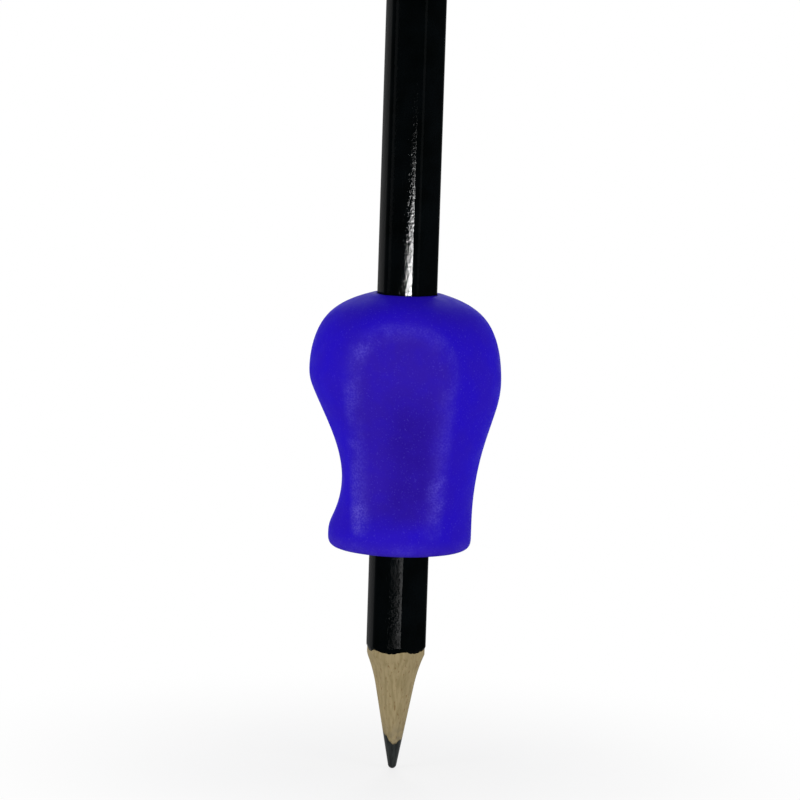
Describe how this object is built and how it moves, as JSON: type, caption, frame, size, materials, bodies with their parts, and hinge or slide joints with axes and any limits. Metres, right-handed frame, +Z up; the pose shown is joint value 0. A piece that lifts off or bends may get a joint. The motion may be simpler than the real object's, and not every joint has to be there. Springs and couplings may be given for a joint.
{
  "type": "pencil with finger grip",
  "caption": "Sharpened hexagonal wooden pencil carrying a soft moulded finger grip, domed at the top with scooped finger pads, that slides along the barrel and pulls off its end.",
  "frame": {"origin": "the pencil's writing tip", "axes": "+Z up the pencil's axis from the tip to the tail, -Y the front that faces the picture's camera, +X to the right"},
  "size_m": [0.0248, 0.0236, 0.172],
  "materials": {
    "grip_rubber": "satin",
    "black_lacquer": "gloss",
    "pencil_wood": "bare, sharpened",
    "graphite": "dull metallic"
  },
  "bodies": {
    "pencil": {"lacquer_coat": "black_lacquer", "front_slat": "pencil_wood", "rear_slat": "pencil_wood", "graphite_core": "graphite"},
    "grip": {"finger_grip": "grip_rubber"}
  },
  "joints": [
    {"name": "grip_slide", "type": "slide", "parent": "pencil", "child": "grip", "axis": [0, 0, 1], "range_m": [-0.0125, 0.145]}
  ]
}
